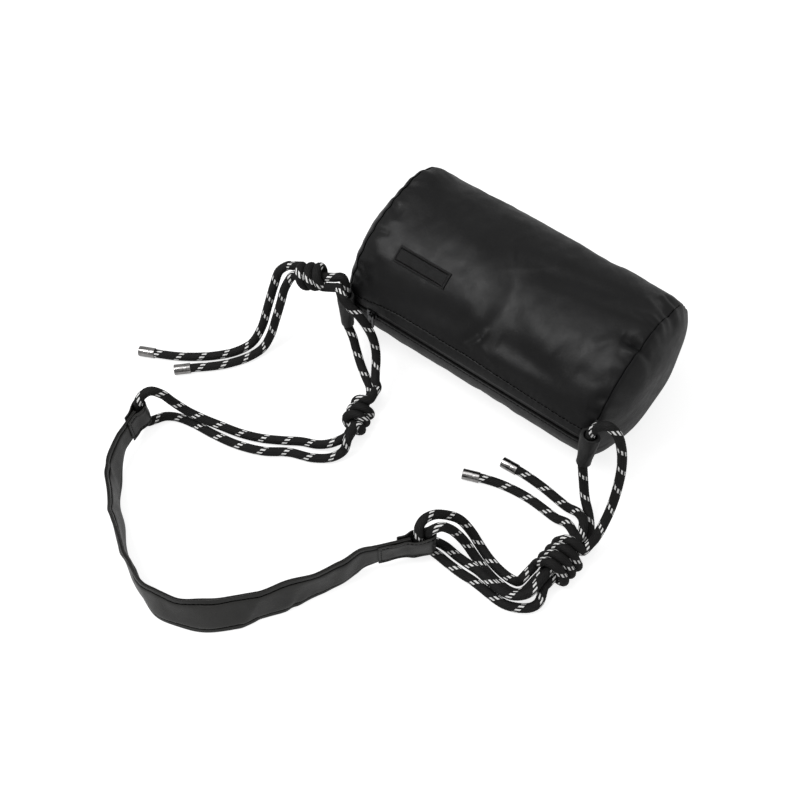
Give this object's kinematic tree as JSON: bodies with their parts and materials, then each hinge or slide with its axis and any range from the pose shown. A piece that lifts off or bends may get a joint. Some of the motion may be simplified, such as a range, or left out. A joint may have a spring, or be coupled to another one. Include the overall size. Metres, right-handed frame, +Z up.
{
  "type": "rope storage bag",
  "caption": "Small barrel bag of coated nylon with a zip along its front, carried by knotted ropes at both ends and a flat shoulder strap.",
  "frame": {"origin": "on the floor under the middle of the bag, at the centre of the flat that the body rests on", "axes": "+X along the bag's axis towards the end with the three-strand knot, -Y towards the zip and the strap, +Z up"},
  "size_m": [0.4494, 0.469, 0.1385],
  "materials": {
    "coated_nylon": "polyurethane coated nylon, soft sheen",
    "lining": "thin woven lining",
    "zip_tape": "woven zip tape",
    "zip_nylon": "moulded nylon teeth",
    "black_metal": "glossy black enamel on zinc",
    "label_cloth": "woven patch with a stitched border",
    "rope_braid": "braided rope, charcoal with white tracer threads",
    "tip_metal": "gunmetal plated",
    "strap_cloth": "coated strap cloth with stitched edges",
    "strap_foam": "closed-cell foam"
  },
  "bodies": {
    "bag": {"body_panel": "coated_nylon", "end_panel_left": "coated_nylon", "end_panel_right": "coated_nylon", "lining_body": "lining", "lining_end_left": "lining", "lining_end_right": "lining", "zip_tape_upper": "zip_tape", "zip_tape_lower": "zip_tape", "zip_teeth_upper": "zip_nylon", "zip_teeth_lower": "zip_nylon", "zip_top_stop_upper": "black_metal", "zip_top_stop_lower": "black_metal", "zip_bottom_stop": "black_metal", "label_patch": "label_cloth", "rope_tunnel_left": "coated_nylon", "rope_tunnel_right": "coated_nylon", "strap_face": "strap_cloth", "strap_core": "strap_foam", "strap_backing": "strap_cloth", "strap_end_left": "strap_cloth", "strap_end_right": "strap_cloth", "left_rope": "rope_braid", "left_rope_tip_a": "tip_metal", "left_rope_tip_b": "tip_metal", "right_rope": "rope_braid", "right_rope_tip_a": "tip_metal", "right_rope_tip_b": "tip_metal"},
    "slider": {"zip_slider": "black_metal"},
    "puller": {"zip_puller": "black_metal"}
  },
  "joints": [
    {"name": "zip_slide", "type": "slide", "parent": "bag", "child": "slider", "axis": [1, 0, 0], "range_m": [0, 0.189]},
    {"name": "puller_swing", "type": "hinge", "parent": "slider", "child": "puller", "pos_m": [-0.097, -0.083, 0.068], "axis": [0, 1, 0], "range_deg": [-90, 90]}
  ]
}
